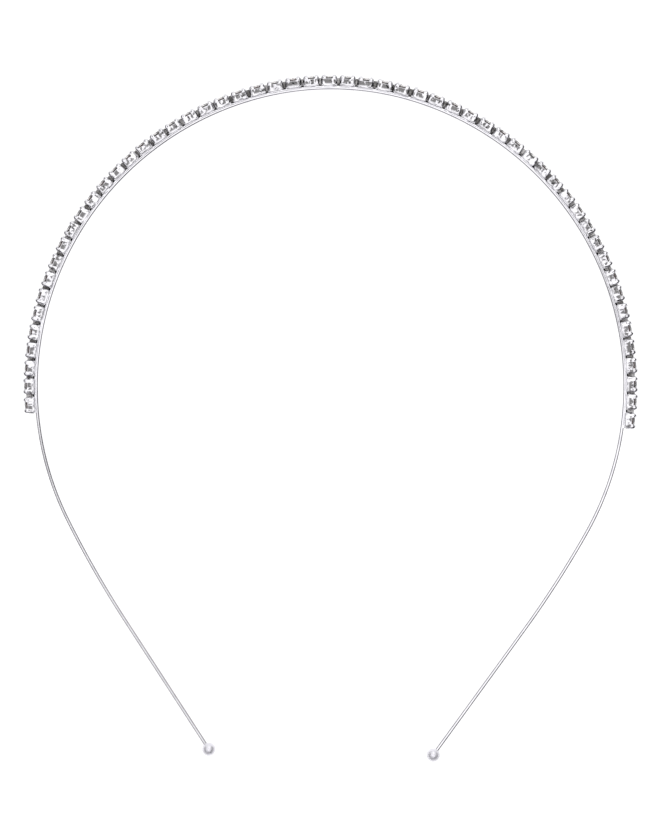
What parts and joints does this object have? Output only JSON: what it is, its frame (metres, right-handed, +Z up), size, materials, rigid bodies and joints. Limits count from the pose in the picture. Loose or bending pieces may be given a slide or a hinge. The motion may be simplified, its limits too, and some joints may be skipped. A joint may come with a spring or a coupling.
{
  "type": "crystal headband",
  "caption": "Springy silver wire headband, open between two ball tips, with a row of clear cut stones in claw cups soldered round the outside of its crown.",
  "frame": {"origin": "middle of the bounding box across the head and from crown to tips, at the level of the surface that the headband lies on", "axes": "+Y from the ball tips to the crown in the plane of the hoop, +Z up out of that plane, X across the head; +Y is the longest extent and +Z the shortest"},
  "size_m": [0.1376, 0.1532, 0.0037],
  "materials": {
    "silver_plate": "bright silver plating, polished",
    "clear_crystal": "clear cut glass with a foiled back",
    "polished_ball": "bright silver plating, mirror polished"
  },
  "bodies": {
    "root": {"band": "silver_plate", "crystals": "clear_crystal", "ball_tip_left": "polished_ball", "ball_tip_right": "polished_ball"}
  },
  "joints": []
}
